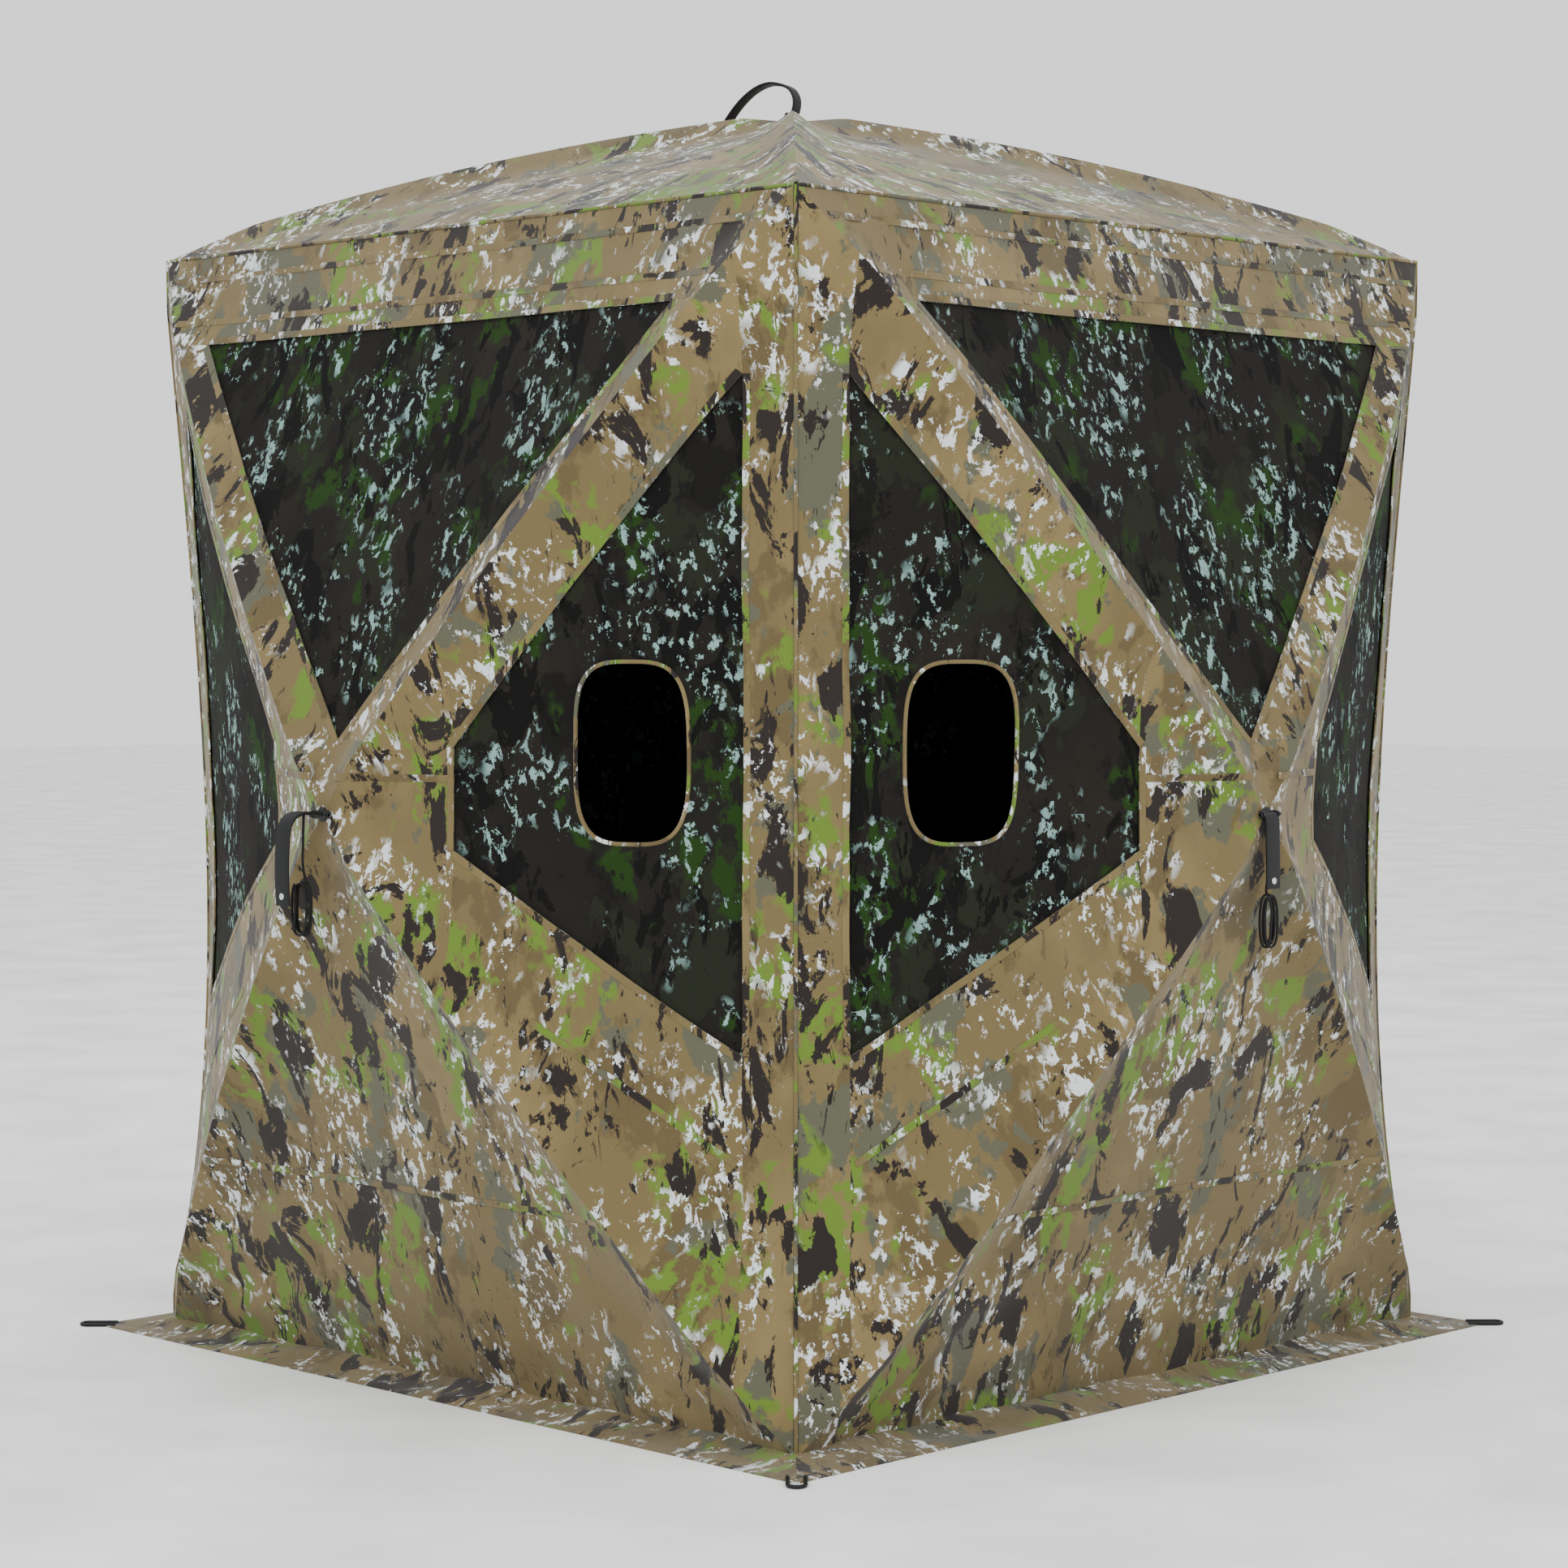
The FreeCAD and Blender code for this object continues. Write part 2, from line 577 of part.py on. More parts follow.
# a tie cord's drop from its strap to its hank, in its hub's frame: across, up, outward
FRONT_DROP = [(4, 1, 40), (5, -24, 42), (2, -48, 40), (4, -72, 43), (1, -96, 42)]
RIGHT_DROP = [(2, -9.5, 8.0), (3, -30, 5.5), (0, -58, 6.5), (2, -86, 5.5), (-1, -116, 8)]


def cord_tube(frame, route, radius):
    """A cord along straight runs joined by tangent arcs, each as large as its runs allow."""
    points = [frame.at(*p) for p in route]
    edges, start = [], points[0]
    for before, corner, after in zip(points, points[1:], points[2:]):
        arrive, leave = (corner - before), (after - corner)
        turn = arrive.getAngle(leave)
        trim = 0.45 * min(arrive.Length, leave.Length)
        bend = trim / math.tan(turn / 2)
        arrive.normalize()
        leave.normalize()
        enter, out = corner - arrive * trim, corner + leave * trim
        centre_way = (leave - arrive).normalize()
        middle = corner + centre_way * (bend / math.cos(turn / 2) - bend)
        edges += [Part.LineSegment(start, enter).toShape(), Part.Arc(enter, middle, out).toShape()]
        start = out
        print(f"cord bend radius {bend:.0f} mm")
    edges.append(Part.LineSegment(start, points[-1]).toShape())
    path = Part.Wire(edges)
    ring = Part.Wire(Part.Circle(points[0], points[1] - points[0], radius).toShape())
    tube = path.makePipeShell([ring], True, False)
    print(f"cord tube volume {tube.Volume:.0f}, expected {math.pi * radius ** 2 * path.Length:.0f}")
    return tube


def hank_shape(frame, route):
    """The outer shape of the bundled cord below a drop."""
    x, y, z = route[-1]
    body = rounded_plate(HANK_W, HANK_L, HANK_W / 2 - 1, (x, y - HANK_L / 2), -HANK_D / 2, HANK_D / 2)
    body.translate(V(0, 0, z))
    return frame.place(body)


def make_straps(all_faces):
    by_name = {face.name: face for face in all_faces}
    for name in ("front", "back"):
        save(f"{name}_pull_strap", *standing_strap(by_name[name]))
    for name in ("right", "left"):
        save(f"{name}_pull_strap", *hanging_strap(by_name[name]))
    save("roof_pull_strap", *roof_strap(by_name["roof"]))
    for name, route in (("front", FRONT_DROP), ("right", RIGHT_DROP)):
        save(f"{name}_tie_cord", cord_tube(by_name[name].hub, route, CORD_R))
        save(f"{name}_tie_cord_hank", hank_shape(by_name[name].hub, route))


def main():
    os.makedirs("parts", exist_ok=True)
    all_faces = faces()
    make_root()
    make_hubs_and_poles(all_faces)
    make_panels(all_faces)
    make_straps(all_faces)


main()
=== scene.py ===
"""A pop-up hub blind: camouflage cloth over sprung hubs, with mesh windows and a ground skirt."""
import json
import math

import bpy
from mathutils import Matrix, Vector, noise

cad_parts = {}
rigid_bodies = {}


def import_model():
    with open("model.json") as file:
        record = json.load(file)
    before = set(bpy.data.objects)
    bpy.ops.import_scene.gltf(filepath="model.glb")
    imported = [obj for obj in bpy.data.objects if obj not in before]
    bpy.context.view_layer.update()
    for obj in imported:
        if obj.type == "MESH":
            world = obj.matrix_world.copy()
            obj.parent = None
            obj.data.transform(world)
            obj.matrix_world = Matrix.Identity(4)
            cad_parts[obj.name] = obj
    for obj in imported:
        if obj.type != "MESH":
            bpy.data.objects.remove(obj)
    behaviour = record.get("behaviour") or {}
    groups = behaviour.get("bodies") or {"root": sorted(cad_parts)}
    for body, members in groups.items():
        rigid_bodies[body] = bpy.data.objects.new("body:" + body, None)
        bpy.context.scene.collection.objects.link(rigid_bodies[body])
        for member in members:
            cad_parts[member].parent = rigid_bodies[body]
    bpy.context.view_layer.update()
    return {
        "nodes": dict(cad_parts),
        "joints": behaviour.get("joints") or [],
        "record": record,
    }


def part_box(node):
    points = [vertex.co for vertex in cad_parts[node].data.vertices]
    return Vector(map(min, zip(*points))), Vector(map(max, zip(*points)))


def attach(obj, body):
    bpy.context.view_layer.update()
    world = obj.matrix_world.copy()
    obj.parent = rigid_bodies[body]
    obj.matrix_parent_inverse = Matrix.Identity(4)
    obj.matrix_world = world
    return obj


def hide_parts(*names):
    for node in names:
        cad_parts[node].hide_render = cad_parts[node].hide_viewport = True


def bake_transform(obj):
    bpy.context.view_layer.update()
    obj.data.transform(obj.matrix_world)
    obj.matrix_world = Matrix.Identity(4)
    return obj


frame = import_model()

# ---- sizes in metres; the main ones come from the frame ----
PIPING_BALL = 0.0044
PIPING_R = 0.003
CLOTH_T = 0.0012
MESH_T = 0.0008
WINDOW_BACK = 0.004       # window mesh behind the cloth
WINDOW_LAP = 0.010        # mesh sewn behind the cloth's edge
CLOTH_CELL = 0.022
TRIM = 0.010              # a grid's spare edge before it is cut to shape
EDGE_START = 0.0035       # cloth starts this far from its edge seam
RIDGE_BOW = 0.026         # outward bow of a pole at its middle
SLEEVE_RISE = 0.019       # pole and its padding under the cloth
SLEEVE_SPREAD = 0.030
WAIST = 0.062             # how far a corner edge is drawn in between its ends
SEAM_W = 0.011
SEAM_LIFT = 0.0009
SEAM_END = 0.010          # a seam stops this far from a fold line or a window
FASCIA_SEAMS = (0.042, 0.120)
LOWER_SEAM = 0.33
HUB_SEAM_UP = 0.057       # over the hub
HUB_SEAM_STOP = 0.030     # short of the hub
BELOW_SEAM = ((0.49, 0.09), (0.295, 0.415))  # ends: below the hub, and in from the edge

TOP_WINDOW_DROP = 0.160
TOP_WINDOW_HALF = 0.555
TOP_WINDOW_TIP = 0.820
SIDE_WINDOW_INSET = 0.082
SIDE_WINDOW_END = 0.558
SIDE_WINDOW_TOP = 0.638
SIDE_WINDOW_BOTTOM = -0.335
SIDE_WINDOW_END_TOP = 0.104
SIDE_WINDOW_END_BOTTOM = -0.049
PORT_HALF_W = 0.091
PORT_HALF_H = 0.1315
PORT_INSET = 0.262
PORT_OVER_HUB = 0.098
PORT_SQUARENESS = 3.4     # exponent of the oval
PORT_BINDING_R = 0.0032

SKIRT_LAP = 0.006
SKIRT_W = 0.0915          # of skirt that shows outside the base seam
STRAP_T = 0.005
STRAP_W = 0.032
ROOF_STRAP_W = 0.026
STRAP_BAR_R = 0.0025
BAR_OUT = 0.0089          # strap bar outside the cloth
CORD_D = 0.004
KNOT_R = 0.0034
HANK_TURNS = 4
HANK_POINTS = 16          # per turn

WALLS = (("front", (0, -1, 0)), ("right", (1, 0, 0)), ("back", (0, 1, 0)), ("left", (-1, 0, 0)))

joints = {joint["name"]: joint for joint in frame["joints"]}
low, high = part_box("edge_piping")
HALF = high.x - PIPING_BALL
BASE_Z = low.z + PIPING_BALL
EAVE_Z = high.z - PIPING_BALL
SKIRT_OUT = HALF + SKIRT_W
HALF_UP = (EAVE_Z - BASE_Z) / 2
HUB_Z = (EAVE_Z + BASE_Z) / 2
WALL_RISE = joints["front_hub_push"]["range_m"][1] / 2
ROOF_RISE = joints["roof_hub_push"]["range_m"][1] / 2


# ---- faces and panels ----
class Axes:
    def __init__(self, origin, x, y, z):
        self.origin, self.x, self.y, self.z = origin, x, y, z

    def at(self, x, y, z=0.0):
        return self.origin + self.x * x + self.y * y + self.z * z


class Panel:
    """One of a face's four panels: u runs along its outer edge and v up the slope to the hub."""

    def __init__(self, face, side, seed):
        self.face, self.side, self.seed = face, side, seed
        name, axes, half_y, rise = face
        inward = {"upper": (0, -1), "lower": (0, 1), "east": (-1, 0), "west": (1, 0)}[side]
        across = side in ("east", "west")
        self.reach = HALF if across else half_y
        self.half_edge = half_y if across else HALF
        self.slant = math.hypot(self.reach, rise)
        flat = axes.x * inward[0] + axes.y * inward[1]
        self.rise_way = (flat * self.reach + axes.z * rise).normalized()
        self.out = (axes.z * self.reach - flat * rise).normalized()
        self.along = self.rise_way.cross(self.out)
        self.middle = axes.origin - flat * self.reach
        self.normal = axes.z
        self.ridge = math.hypot(self.half_edge, self.slant)
        self.flat = flat
        self.name = f"{name}_{side}"
        zipped = self.name in ("left_west", "back_east")
        self.waist = WAIST if across and name != "roof" and not zipped else 0.0
        door = self.name == "left_west"
        self.node = "door_panel" if door else f"{self.name}_panel"
        self.body = "door" if door else self.node
        self.up = round(self.along.dot(axes.y)) or 1

    def ridge_gap(self, u, v):
        """Distance from a point to the nearer fold line."""
        return max(0.0, (self.half_edge * (1 - v / self.slant) - abs(u)) * self.slant / self.ridge)

    def lift(self, u, v):
        """How far the cloth stands off the flat panel: bowed poles, the sleeve over them, and slack."""
        s = min(max(v / self.slant, 0.0), 1.0)
        half = max(self.half_edge * (1 - s), 1e-4)
        w = min(abs(u) / half, 1.0)
        gap = self.ridge_gap(u, v)
        bow = RIDGE_BOW * math.sin(math.pi * s) * (0.35 + 0.65 * w ** 2)
        sleeve = SLEEVE_RISE * math.exp(-(gap / SLEEVE_SPREAD) ** 2)
        sleeve *= min(1.0, 7 * s) * min(1.0, 12 * (1 - s))
        free = min(1.0, gap / 0.09) * min(1.0, v / 0.05)
        slack = noise.noise(Vector((u * 3.1, v * 2.6, self.seed))) * 0.006
        slack += noise.noise(Vector((u * 9, v * 7, self.seed + 5))) * 0.0022
        return bow + sleeve + free * (slack + self.corner_folds(u, v) + self.hem_folds(u, v))

    def corner_folds(self, u, v):
        """Tension folds that fan out of the panel's two outer corners."""
        size = 0.0115 if self.side == "lower" else 0.005
        total = 0.0
        for side in (-1, 1):
            du = self.half_edge - side * u
            r = math.hypot(du, v)
            angle = math.atan2(v, max(du, 1e-5))
            wander = 2.5 * noise.noise(Vector((r * 2.5, side, self.seed)))
            total += math.sin(angle * 21 + wander + self.seed) * math.exp(-r / 0.36) * min(1.0, r / 0.12)
        return total * size

    def hem_folds(self, u, v):
        """Upright slack folds over the base seam."""
        if self.side != "lower":
            return 0.0
        wave = noise.noise(Vector((u * 7, v * 1.5, self.seed + 9)))
        wave += 0.5 * noise.noise(Vector((u * 17, v * 2, self.seed)))
        return 0.015 * wave * math.exp(-v / 0.2)

    def place(self, u, v, proud=0.0):
        point = self.middle + self.along * u + self.rise_way * v
        point += self.normal * self.lift(u, v) + self.out * proud
        if self.waist:
            depth = self.slant * max(1 - abs(u) / self.half_edge, 0.01)
            share = max(0.0, 1 - max(v, 0.0) / depth) ** 1.5
            point += (self.flat - self.normal) * (drawn_in(u * self.up) * share / math.sqrt(2))
        return point

    def half_width(self, v):
        return self.half_edge * (1 - v / self.slant)


def drawn_in(height):
    """How far a corner edge is drawn in at a height over its hub; most a third of the way up."""
    share = (height + HALF_UP) / (2 * HALF_UP)
    share = min(max((share - 0.045) / 0.91, 0.0), 1.0)
    return WAIST * math.sin(math.pi * share ** 0.72)


def make_faces():
    up = Vector((0, 0, 1))
    walls = []
    for name, out in WALLS:
        out = Vector(out)
        walls.append((name, Axes(out * HALF + up * HUB_Z, up.cross(out), up, out), HALF_UP, WALL_RISE))
    roof = Axes(up * EAVE_Z, Vector((1, 0, 0)), Vector((0, 1, 0)), up)
    return walls + [("roof", roof, HALF, ROOF_RISE)]


def hub_axes(face):
    """A hub's frame: a face's own axes, moved out to its hub."""
    _, axes, _, rise = face
    return Axes(axes.at(0, 0, rise), axes.x, axes.y, axes.z)


# ---- modelling helpers ----
def deselect():
    bpy.ops.object.select_all(action="DESELECT")


def finish(obj, material, smooth=40):
    """Smooth shading, its materials, and its place applied to its mesh."""
    deselect()
    obj.select_set(True)
    bpy.context.view_layer.objects.active = obj
    bpy.ops.object.transform_apply(location=True, rotation=True, scale=True)
    bpy.ops.object.shade_smooth_by_angle(angle=math.radians(smooth))
    for item in material if isinstance(material, (list, tuple)) else [material]:
        if item.name not in [m.name for m in obj.data.materials if m]:
            obj.data.materials.append(item)
    return obj


def apply(obj, kind, **settings):
    modifier = obj.modifiers.new(kind.title(), kind)
    for key, value in settings.items():
        setattr(modifier, key, value)
    bpy.context.view_layer.objects.active = obj
    bpy.ops.object.modifier_apply(modifier=modifier.name)


def join(objs, name):
    deselect()
    for obj in objs:
        obj.select_set(True)
    bpy.context.view_layer.objects.active = objs[0]
    if len(objs) > 1:
        bpy.ops.object.join()
    objs[0].name = objs[0].data.name = name
    return objs[0]


def trimmed_grid(name, outline, grow=0.0, cell=CLOTH_CELL):
    """A flat grid cut to a convex outline given anticlockwise in u and v."""
    us, vs = [p[0] for p in outline], [p[1] for p in outline]
    spare = grow + TRIM
    lo, hi = (min(us) - spare, min(vs) - spare), (max(us) + spare, max(vs) + spare)
    size = (hi[0] - lo[0], hi[1] - lo[1])
    counts = [max(2, round(side / cell)) for side in size]
    centre = ((lo[0] + hi[0]) / 2, (lo[1] + hi[1]) / 2, 0)
    deselect()
    bpy.ops.mesh.primitive_grid_add(
        x_subdivisions=counts[0], y_subdivisions=counts[1], size=1, location=centre
    )
    obj = bpy.context.object
    obj.name = obj.data.name = name
    obj.scale = (size[0], size[1], 1)
    bpy.ops.object.transform_apply(location=True, rotation=True, scale=True)
    bpy.ops.object.mode_set(mode="EDIT")
    for (u0, v0), (u1, v1) in zip(outline, outline[1:] + outline[:1]):
        way = Vector((v1 - v0, u0 - u1, 0))
        if way.length < 1e-6:
            continue
        way.normalize()
        bpy.ops.mesh.select_all(action="SELECT")
        point = (u0 + way.x * grow, v0 + way.y * grow, 0)
        bpy.ops.mesh.bisect(plane_co=point, plane_no=way, clear_outer=True)
    bpy.ops.mesh.select_all(action="SELECT")
    bpy.ops.mesh.remove_doubles(threshold=0.0004)
    bpy.ops.object.mode_set(mode="OBJECT")
    return obj


def print_uv(obj, panel, shift):
    """A UV map in metres, upright on the walls, so that the print runs as on the cut cloth."""
    layer = obj.data.uv_layers[0] if obj.data.uv_layers else obj.data.uv_layers.new(name="UVMap")
    upright = panel.side in ("east", "west") and panel.face[0] != "roof"
    for loop in obj.data.loops:
        u, v, _ = obj.data.vertices[loop.vertex_index].co
        place = (v, u * panel.up) if upright else (u, v)
        layer.data[loop.index].uv = (place[0] + shift[0], place[1] + shift[1])


def drape(obj, panel, proud):
    for vertex in obj.data.vertices:
        u, v, w = vertex.co
        vertex.co = panel.place(u, v, proud + w)


def area_of(outline):
    return abs(sum(a[0] * b[1] - b[0] * a[1] for a, b in zip(outline, outline[1:] + outline[:1]))) / 2


def sewn_cloth(name, panel, outline, materials, proud=0.0, grow=0.0, thickness=CLOTH_T, hole=None):
    """One cut piece of cloth, draped over its part of a panel; its flat area is worked out but not used."""
    obj = trimmed_grid(name, outline, grow)
    seed = 1.7 * len(bpy.data.objects)
    shift = (3 * math.sin(seed), 3 * math.cos(1.3 * seed))
    print_uv(obj, panel, shift)
    drape(obj, panel, proud)
    apply(obj, "SOLIDIFY", thickness=thickness, offset=-1, material_offset=1, material_offset_rim=0)
    finish(obj, materials)
    area = area_of(outline)
    if hole is not None:
        area -= cut_port(obj, panel, hole)
    if panel.waist and name.endswith("edge_strip"):
        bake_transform(obj)
    else:
        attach(obj, panel.body)
    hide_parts(panel.node)
    return obj


# ---- shooting ports ----
def oval(panel, count=64, grow=0.0):
    """Points of a port's upright oval, in a panel's u and v."""
    points = []
    for i in range(count):
        a = 2 * math.pi * i / count
        c, s = math.cos(a), math.sin(a)
        power = 2 / PORT_SQUARENESS
        u = (PORT_HALF_H + grow) * math.copysign(abs(c) ** power, c)
        v = (PORT_HALF_W + grow) * math.copysign(abs(s) ** power, s)
        points.append((panel.up * PORT_OVER_HUB + u, PORT_INSET + v))
    return points


def cut_port(obj, panel, points):
    """Cuts a port through a window and gives the hole's area."""
    verts = []
    for side in (-0.06, 0.06):
        verts += [panel.place(u, v, side) for u, v in points]
    n = len(points)
    faces = [list(range(n))[::-1], list(range(n, 2 * n))]
    faces += [[i, (i + 1) % n, n + (i + 1) % n, n + i] for i in range(n)]
    mesh = bpy.data.meshes.new("cutter")
    mesh.from_pydata(verts, [], faces)
    cutter = bpy.data.objects.new("cutter", mesh)
    bpy.context.scene.collection.objects.link(cutter)
    bpy.context.view_layer.update()
    deselect()
    bpy.context.view_layer.objects.active = cutter
    cutter.select_set(True)
    bpy.ops.object.mode_set(mode="EDIT")
    bpy.ops.mesh.select_all(action="SELECT")
    bpy.ops.mesh.normals_make_consistent(inside=False)
    bpy.ops.object.mode_set(mode="OBJECT")
    apply(obj, "BOOLEAN", operation="DIFFERENCE", object=cutter, solver="EXACT")
    bpy.data.objects.remove(cutter)
    return area_of(points)


def tube(name, points, radius, closed=False):
    """A round tube along points, as a mesh."""
    curve = bpy.data.curves.new(name, "CURVE")
    curve.dimensions = "3D"
    curve.bevel_depth = radius
    curve.bevel_resolution = 3
    spline = curve.splines.new("POLY")
    spline.points.add(len(points) - 1)
    for point, place in zip(spline.points, points):
        point.co = (*place, 1)
    spline.use_cyclic_u = closed
    obj = bpy.data.objects.new(name, curve)
    bpy.context.scene.collection.objects.link(obj)
    deselect()
    obj.select_set(True)
    bpy.context.view_layer.objects.active = obj
    bpy.ops.object.convert(target="MESH")
    return bpy.context.object


def port_binding(panel):
    """The camouflage tape bound round a port's edge."""
    points = [panel.place(u, v, -WINDOW_BACK) for u, v in oval(panel, 72, 0.001)]
    ring = tube(f"{panel.name}_port_binding", points, PORT_BINDING_R, closed=True)
    finish(ring, BINDING)
    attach(ring, panel.body)


# ---- wall and roof cloth ----
def seam(panel, start, end, width=SEAM_W):
    """A folded seam along a line on a panel."""
    along = Vector((end[0] - start[0], end[1] - start[1]))
    side = Vector((-along.y, along.x)).normalized() * width / 2
    outline = [(start[0] - side.x, start[1] - side.y), (end[0] - side.x, end[1] - side.y),
               (end[0] + side.x, end[1] + side.y), (start[0] + side.x, start[1] + side.y)]
    if sum(a[0] * b[1] - b[0] * a[1] for a, b in zip(outline, outline[1:] + outline[:1])) < 0:
        outline.reverse()
    obj = trimmed_grid("seam", outline, cell=0.012)
    print_uv(obj, panel, (0.37, 1.9))
    drape(obj, panel, SEAM_LIFT)
    apply(obj, "SOLIDIFY", thickness=0.0016, offset=-1)
    return obj


def seams(panel, lines):
    obj = join([seam(panel, *line) for line in lines], f"{panel.name}_seams")
    finish(obj, CAMO)
    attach(obj, panel.body)


def plain_panel(panel, lines=()):
    first = panel.half_width(EDGE_START)
    outline = [(-first, EDGE_START), (first, EDGE_START), (0, panel.slant)]
    sewn_cloth(f"{panel.name}_cloth", panel, outline, CLOTH)
    if lines:
        seams(panel, lines)


def framed_window(panel, near, far, near_span, far_span, port=False):
    """The strips round a window, and the window's mesh behind them."""
    n0, n1 = near_span
    f0, f1 = far_span
    wide, narrow = panel.half_width(near), panel.half_width(far)
    first, top = panel.half_width(EDGE_START), panel.slant
    pieces = {
        "edge_strip": [(-first, EDGE_START), (first, EDGE_START), (wide, near), (-wide, near)],
        "first_band": [(n1, near), (wide, near), (narrow, far), (f1, far)],
        "second_band": [(-wide, near), (n0, near), (f0, far), (-narrow, far)],
        "hub_piece": [(-narrow, far), (narrow, far), (0, top)],
    }
    for part, outline in pieces.items():
        sewn_cloth(f"{panel.name}_{part}", panel, outline, CLOTH)
    outline = [(n0, near), (n1, near), (f1, far)] + ([(f0, far)] if f0 != f1 else [])
    hole = oval(panel) if port else None
    sewn_cloth(f"{panel.name}_window", panel, outline, MESH, -WINDOW_BACK, WINDOW_LAP, MESH_T, hole)
    if port:
        port_binding(panel)
    lines = [((n0, near), (n1, near)), ((n1, near), (f1, far)), ((n0, near), (f0, far))]
    if f0 != f1:
        lines.append(((f0, far), (f1, far)))
    return lines


def window_hems(lines):
    """A narrow folded hem round a window, set back on the cloth."""
    ends = [end for line in lines for end in line]
    middle = Vector((sum(end[0] for end in ends), sum(end[1] for end in ends))) / len(ends)
    shifted = []
    for a, b in lines:
        a, b = Vector(a), Vector(b)
        side = Vector((a.y - b.y, b.x - a.x)).normalized()
        if side.dot(a - middle) < 0:
            side = -side
        shifted.append((tuple(a + side * SEAM_W * 0.5), tuple(b + side * SEAM_W * 0.5)))
    return shifted


def level_line(panel, drop):
    """A seam line right across a panel at a distance from its edge."""
    reach = panel.half_width(drop) - SEAM_END
    return (-reach, drop), (reach, drop)


def side_lines(panel):
    """A side panel's own seams: one from its window to the hub, and one below the window."""
    height = panel.up * HUB_SEAM_UP
    to_hub = ((height, SIDE_WINDOW_END + SEAM_END), (height, panel.slant - HUB_SEAM_STOP))
    below = tuple((-panel.up * down, across) for down, across in BELOW_SEAM)
    return [to_hub, below]


def wall_panels(face, seed):
    for i, side in enumerate(("upper", "lower", "east", "west")):
        panel = Panel(face, side, seed + 3.7 * i)
        if side == "upper":
            span = (-TOP_WINDOW_HALF, TOP_WINDOW_HALF)
            lines = framed_window(panel, TOP_WINDOW_DROP, TOP_WINDOW_TIP, span, (0, 0))
            seams(panel, window_hems(lines) + [level_line(panel, drop) for drop in FASCIA_SEAMS])
        elif side == "lower":
            plain_panel(panel, [level_line(panel, LOWER_SEAM)])
        else:
            near = sorted((panel.up * SIDE_WINDOW_BOTTOM, panel.up * SIDE_WINDOW_TOP))
            far = sorted((panel.up * SIDE_WINDOW_END_BOTTOM, panel.up * SIDE_WINDOW_END_TOP))
            port = panel.name in ("front_east", "right_west")
            lines = framed_window(panel, SIDE_WINDOW_INSET, SIDE_WINDOW_END, near, far, port)
            seams(panel, window_hems(lines) + side_lines(panel))


def roof_panels(face):
    for i, side in enumerate(("upper", "lower", "east", "west")):
        plain_panel(Panel(face, side, 40 + 2.9 * i))


# ---- skirt ----
def skirt_flap(quarter):
    """One mitred flap on the ground, rippled, with its inner edge turned up to the base seam."""
    inner, outer = HALF - SKIRT_LAP, SKIRT_OUT
    deselect()
    bpy.ops.mesh.primitive_grid_add(x_subdivisions=140, y_subdivisions=10, size=2)
    obj = bpy.context.object
    obj.name = obj.data.name = f"skirt_flap_{quarter}"
    layer = obj.data.uv_layers[0]
    turn = Matrix.Rotation(math.radians(90 * quarter), 3, "Z")
    flat = {}
    for vertex in obj.data.vertices:
        a, b = vertex.co.x, (1 - vertex.co.y) / 2
        reach = inner + b * (outer - inner)
        x, y = a * reach, -reach
        fade = min(1.0, 8 * (1 - abs(a)))
        ripple = max(0.0, noise.noise(Vector((x * 6, b * 1.2, quarter * 7.1))) + 0.25) * 0.016 * fade
        ripple += max(0.0, noise.noise(Vector((x * 19, b * 2.0, quarter * 3.3)))) * 0.006 * fade
        turned_up = (BASE_Z + 0.010) * (1 - b) ** 3
        z = CLOTH_T + 0.0006 + turned_up + ripple * math.sin(math.pi * min(1.0, 0.15 + 0.85 * b)) ** 0.7
        flat[vertex.index] = (x, y)
        vertex.co = turn @ Vector((x, y, z))
    for loop in obj.data.loops:
        x, y = flat[loop.vertex_index]
        layer.data[loop.index].uv = (x + quarter * 1.9, y - quarter * 0.7)
    apply(obj, "SOLIDIFY", thickness=CLOTH_T, offset=-1)
    finish(obj, CAMO)
    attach(obj, "root")
    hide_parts("ground_skirt")


def stake_loop(quarter):
    """A webbing loop at a skirt corner, with a rolled eye for the stake."""
    out = Vector((1, 1, 0)).normalized()
    side = Vector((-1, 1, 0)).normalized()
    reach = SKIRT_OUT * math.sqrt(2)
    points = []
    for i in range(25):
        a = math.pi * (i / 24 - 0.5)
        points.append(out * (reach + 0.017 + 0.0125 * math.cos(a)) + side * 0.0125 * math.sin(a))
    points = [out * (reach - 0.03) - side * 0.0125] + points + [out * (reach - 0.03) + side * 0.0125]
    turn = Matrix.Rotation(math.radians(90 * quarter), 3, "Z")
    points = [turn @ (p + Vector((0, 0, 0.0032))) for p in points]
    obj = tube(f"stake_loop_{quarter}", points, 0.003)
    finish(obj, WEBBING)
    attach(obj, "root")


def edge_tapes():
    """The bound edges: straight ones at the eave and base, and four corner edges that are drawn in."""
    made = []
    for i in range(4):
        turn = Matrix.Rotation(math.radians(90 * i), 3, "Z")
        for height in (BASE_Z, EAVE_Z):
            ends = [turn @ Vector((side * HALF, -HALF, height)) for side in (-1, 1)]
            made.append(tube("edge", ends, PIPING_R))
        corner = turn @ Vector((HALF, -HALF, 0))
        zipped = corner.x < 0 < corner.y
        points = []
        for step in range(41):
            height = HALF_UP * (step / 20 - 1)
            inward = 0 if zipped else drawn_in(height)
            way = Vector((-corner.x, -corner.y, 0)).normalized()
            points.append(corner + way * inward + Vector((0, 0, HUB_Z + height)))
        made.append(tube("edge", points, PIPING_R))
    obj = join(made, "edge_tapes")
    finish(obj, BINDING)
    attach(obj, "root")
    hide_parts("edge_piping")


